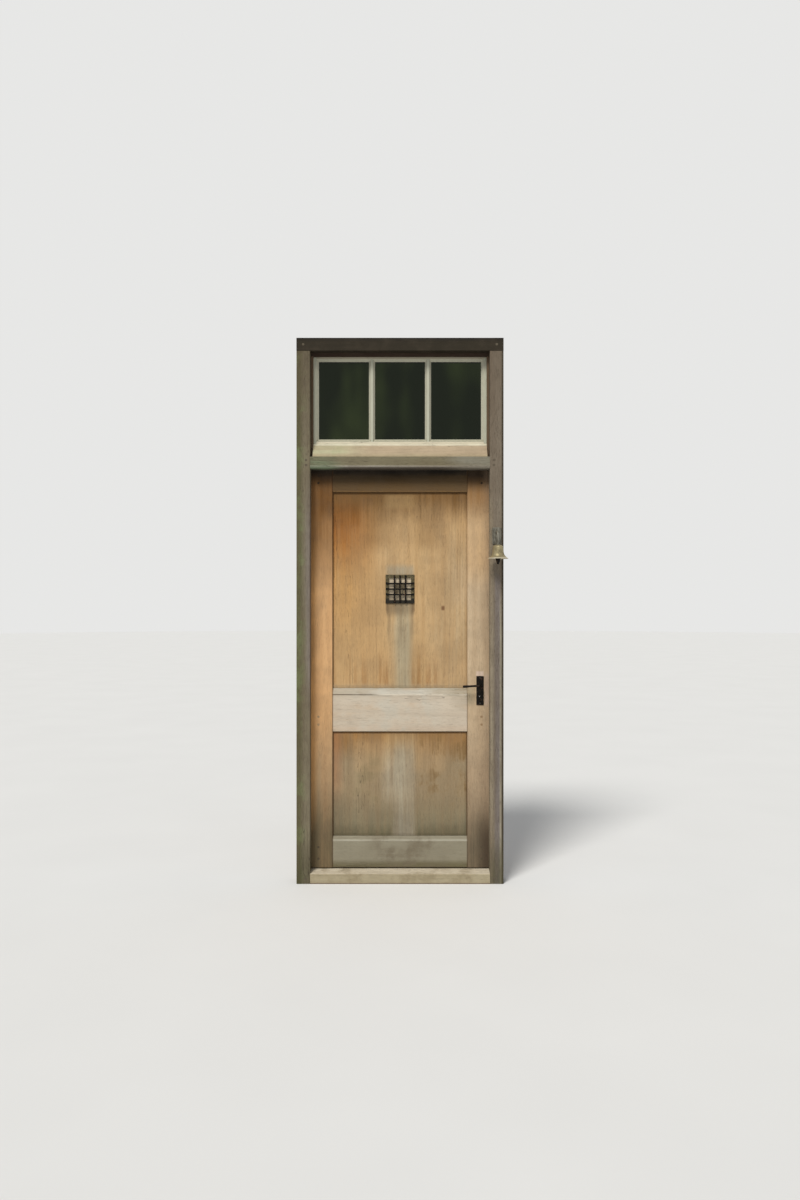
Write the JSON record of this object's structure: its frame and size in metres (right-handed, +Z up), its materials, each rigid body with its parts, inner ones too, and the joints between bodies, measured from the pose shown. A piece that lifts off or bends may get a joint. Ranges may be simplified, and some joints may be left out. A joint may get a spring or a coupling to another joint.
{
  "type": "panelled wooden door with transom light",
  "caption": "Weathered oak door with long upper panel, iron grille, lever handle and bell, in a rebated frame with a three-light transom window.",
  "frame": {"origin": "middle of the sill's underside, halfway through the frame's depth", "axes": "+X from the hinge side to the lock side as seen from outside, +Y indoors, +Z up"},
  "size_m": [1.052, 0.2655, 2.732],
  "materials": {
    "oak": "weathered, matt",
    "sash_oak": "weathered, pale, matt",
    "glass": "clear",
    "putty": "matt",
    "black_iron": "blackened",
    "steel": "dull",
    "bell_brass": "polished, dulled outdoors",
    "brass": "dull"
  },
  "bodies": {
    "frame": {"left_jamb": "oak", "right_jamb": "oak", "frame_head": "oak", "transom_rail": "oak", "door_sill": "oak", "frame_pegs": "oak", "light_stop_left": "oak", "light_stop_right": "oak", "light_stop_top": "oak", "light_sill": "oak", "sash_left_stile": "sash_oak", "sash_right_stile": "sash_oak", "sash_top_rail": "sash_oak", "sash_bottom_rail": "sash_oak", "glazing_bar_left": "sash_oak", "glazing_bar_right": "sash_oak", "pane_left": "glass", "pane_middle": "glass", "pane_right": "glass", "glazing_putty": "putty", "keep_plate": "steel", "hinge_top_frame_plate": "steel", "hinge_middle_frame_plate": "steel", "hinge_bottom_frame_plate": "steel", "hinge_pins": "steel", "frame_screws": "steel", "bell_bracket": "black_iron", "bell": "bell_brass", "bell_bolt": "black_iron"},
    "clapper": {"bell_clapper": "black_iron"},
    "leaf": {"hinge_stile": "oak", "lock_stile": "oak", "top_rail": "oak", "lock_rail": "oak", "bottom_rail": "oak", "upper_panel": "oak", "lower_panel": "oak", "leaf_pegs": "oak", "grille_frame": "black_iron", "grille_uprights": "black_iron", "grille_crossbars": "black_iron", "grille_studs": "black_iron", "hatch_surround": "oak", "hatch_hinge_fixed": "black_iron", "lock_case": "steel", "outer_plate": "black_iron", "inner_plate": "black_iron", "leaf_screws": "steel", "hinge_top_leaf_plate": "steel", "hinge_middle_leaf_plate": "steel", "hinge_bottom_leaf_plate": "steel"},
    "hatch": {"hatch_flap": "oak", "hatch_knob": "brass", "hatch_hinge_moving": "black_iron"},
    "lever": {"outer_lever": "black_iron", "inner_lever": "black_iron", "spindle": "steel", "lock_follower": "steel"},
    "latch": {"latch_bolt": "steel"},
    "dead_bolt": {"dead_bolt": "steel"}
  },
  "joints": [
    {"name": "door_swing", "type": "hinge", "parent": "frame", "child": "leaf", "pos_m": [-0.4585, 0.059, 1], "axis": [0, 0, 1], "range_deg": [0, 105]},
    {"name": "lever_turn", "type": "hinge", "parent": "leaf", "child": "lever", "pos_m": [0.405, 0.03, 0.989], "axis": [0, -1, 0], "range_deg": [0, 40], "stiffness_Nm_per_rad": 0.8, "springref_deg": -20.05},
    {"name": "latch_slide", "type": "slide", "parent": "leaf", "child": "latch", "axis": [-1, 0, 0], "range_m": [0, 0.012]},
    {"name": "dead_bolt_slide", "type": "slide", "parent": "leaf", "child": "dead_bolt", "axis": [1, 0, 0], "range_m": [0, 0.02]},
    {"name": "hatch_swing", "type": "hinge", "parent": "leaf", "child": "hatch", "pos_m": [-0.0465, 0.0511, 1.475], "axis": [0, 0, 1], "range_deg": [0, 170]},
    {"name": "clapper_swing", "type": "hinge", "parent": "frame", "child": "clapper", "pos_m": [0.484, -0.1145, 1.676], "axis": [0, 1, 0], "range_deg": [-18, 18]}
  ],
  "couplings": [
    {"joint": "lever_turn", "follows": "latch_slide", "rad_per_m": 58.178}
  ]
}
